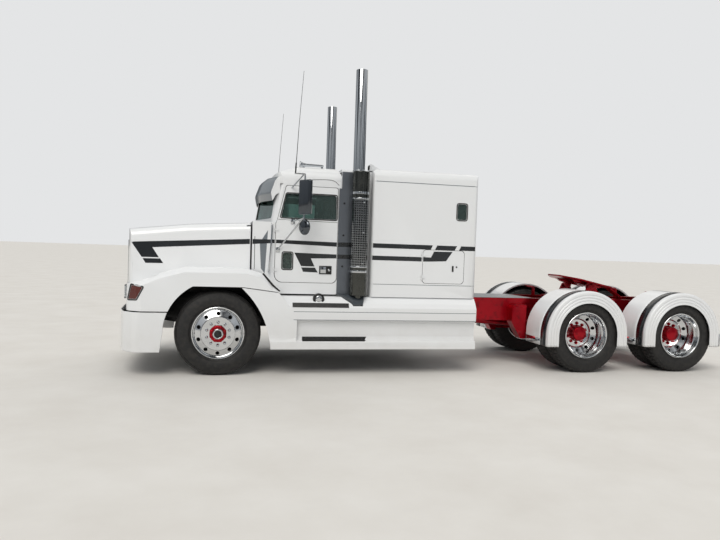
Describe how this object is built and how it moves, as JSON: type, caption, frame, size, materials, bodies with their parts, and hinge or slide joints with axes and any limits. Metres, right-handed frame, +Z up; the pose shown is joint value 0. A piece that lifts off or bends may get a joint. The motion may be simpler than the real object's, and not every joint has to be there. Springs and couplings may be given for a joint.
{
  "type": "semi truck tractor unit",
  "caption": "Bonneted semi truck tractor with a sleeper, full side skirts, upright exhaust stacks, twin-tyred drive axles under round fenders and a tilting fifth wheel.",
  "frame": {"origin": "on the ground, under the middle of the overall length, on the centre line", "axes": "+X forward, +Y to the truck's left, +Z up"},
  "size_m": [8.6476, 2.8006, 3.943],
  "materials": {
    "white_paint": "glossy white paint",
    "grey_paint": "satin grey paint",
    "red_frame_paint": "glossy dark red paint",
    "bright_metal": "bright plated steel",
    "polished_aluminium": "polished aluminium",
    "black_metal": "satin black paint",
    "black_plastic": "grained black plastic",
    "seat_fabric": "dark grey seat cloth",
    "glass": "tinted window glass",
    "lamp_lens": "clear lamp lens",
    "amber_lens": "amber lens",
    "tyre": "black tyre rubber",
    "mirror_chrome": "plated and black mirror parts",
    "white_panel": "white paint"
  },
  "bodies": {
    "tractor": {"frame_rails": "red_frame_paint", "deck_plate": "polished_aluminium", "bumper": "white_paint", "cab_shell": "white_paint", "fixed_windows": "glass", "visor": "grey_paint", "dash": "black_plastic", "seats": "seat_fabric", "sleeper_shell": "white_paint", "stack_panels": "bright_metal", "mufflers": "bright_metal", "stacks": "bright_metal", "roof_horns": "bright_metal", "side_skirts": "white_paint", "step_treads": "black_plastic", "tanks": "polished_aluminium", "engine": "black_metal", "radiator": "black_metal", "drive_shafts": "red_frame_paint", "front_axle": "red_frame_paint", "suspension": "red_frame_paint", "drive_axles": "red_frame_paint", "round_fenders": "white_paint", "fifth_wheel_stand": "red_frame_paint", "tail_panel": "white_panel", "frame_brackets": "red_frame_paint"},
    "hood": {"hood": "white_paint", "grille": "bright_metal", "headlamps": "lamp_lens", "turn_lenses": "amber_lens"},
    "door_left": {"door_left": "white_paint", "door_glass_left": "glass", "mirror_left": "mirror_chrome"},
    "hatch_left": {"hatch_left": "white_paint"},
    "knuckle_left": {"knuckle_left": "red_frame_paint"},
    "front_wheel_left": {"front_tyre_left": "tyre", "front_wheel_left": "polished_aluminium"},
    "drive_wheels_1_left": {"drive_tyres_1_left": "tyre", "drive_wheels_1_left": "polished_aluminium"},
    "drive_wheels_2_left": {"drive_tyres_2_left": "tyre", "drive_wheels_2_left": "polished_aluminium"},
    "door_right": {"door_right": "white_paint", "door_glass_right": "glass", "mirror_right": "mirror_chrome"},
    "hatch_right": {"hatch_right": "white_paint"},
    "knuckle_right": {"knuckle_right": "red_frame_paint"},
    "front_wheel_right": {"front_tyre_right": "tyre", "front_wheel_right": "polished_aluminium"},
    "drive_wheels_1_right": {"drive_tyres_1_right": "tyre", "drive_wheels_1_right": "polished_aluminium"},
    "drive_wheels_2_right": {"drive_tyres_2_right": "tyre", "drive_wheels_2_right": "polished_aluminium"},
    "tie_rod": {"tie_rod": "red_frame_paint"},
    "fifth_wheel": {"fifth_wheel_plate": "red_frame_paint"}
  },
  "joints": [
    {"name": "hood_tilt", "type": "hinge", "parent": "tractor", "child": "hood", "pos_m": [4.175, 0, 0.8], "axis": [0, 1, 0], "range_deg": [0, 60]},
    {"name": "door_left_swing", "type": "hinge", "parent": "tractor", "child": "door_left", "pos_m": [2.395, 1.008, 1.8], "axis": [0, 0, -1], "range_deg": [0, 70]},
    {"name": "door_right_swing", "type": "hinge", "parent": "tractor", "child": "door_right", "pos_m": [2.395, -1.008, 1.8], "axis": [0, 0, 1], "range_deg": [0, 70]},
    {"name": "hatch_left_swing", "type": "hinge", "parent": "tractor", "child": "hatch_left", "pos_m": [0.445, 1.132, 1.43], "axis": [0, 0, -1], "range_deg": [0, 90]},
    {"name": "hatch_right_swing", "type": "hinge", "parent": "tractor", "child": "hatch_right", "pos_m": [0.445, -1.132, 1.43], "axis": [0, 0, 1], "range_deg": [0, 90]},
    {"name": "steer_left", "type": "hinge", "parent": "tractor", "child": "knuckle_left", "pos_m": [3.075, 0.93, 0.532], "axis": [0, 0, 1], "range_deg": [-38, 38]},
    {"name": "steer_right", "type": "hinge", "parent": "tractor", "child": "knuckle_right", "pos_m": [3.075, -0.93, 0.532], "axis": [0, 0, 1], "range_deg": [-38, 38]},
    {"name": "tie_rod_turn", "type": "hinge", "parent": "knuckle_left", "child": "tie_rod", "pos_m": [2.875, 0.93, 0.4], "axis": [0, 0, 1], "range_deg": [-38, 38]},
    {"name": "front_wheel_left_spin", "type": "hinge", "parent": "knuckle_left", "child": "front_wheel_left", "pos_m": [3.075, 1.017, 0.532], "axis": [0, 1, 0], "continuous": true},
    {"name": "front_wheel_right_spin", "type": "hinge", "parent": "knuckle_right", "child": "front_wheel_right", "pos_m": [3.075, -1.017, 0.532], "axis": [0, 1, 0], "continuous": true},
    {"name": "drive_wheels_1_left_spin", "type": "hinge", "parent": "tractor", "child": "drive_wheels_1_left", "pos_m": [-1.988, 0.925, 0.532], "axis": [0, 1, 0], "continuous": true},
    {"name": "drive_wheels_1_right_spin", "type": "hinge", "parent": "tractor", "child": "drive_wheels_1_right", "pos_m": [-1.988, -0.925, 0.532], "axis": [0, 1, 0], "continuous": true},
    {"name": "drive_wheels_2_left_spin", "type": "hinge", "parent": "tractor", "child": "drive_wheels_2_left", "pos_m": [-3.516, 0.925, 0.532], "axis": [0, 1, 0], "continuous": true},
    {"name": "drive_wheels_2_right_spin", "type": "hinge", "parent": "tractor", "child": "drive_wheels_2_right", "pos_m": [-3.516, -0.925, 0.532], "axis": [0, 1, 0], "continuous": true},
    {"name": "fifth_wheel_tilt", "type": "hinge", "parent": "tractor", "child": "fifth_wheel", "pos_m": [-2.565, 0, 1.165], "axis": [0, 1, 0], "range_deg": [0, 24]}
  ],
  "couplings": [
    {"joint": "steer_right", "follows": "steer_left", "ratio": 1},
    {"joint": "tie_rod_turn", "follows": "steer_left", "ratio": -1}
  ]
}
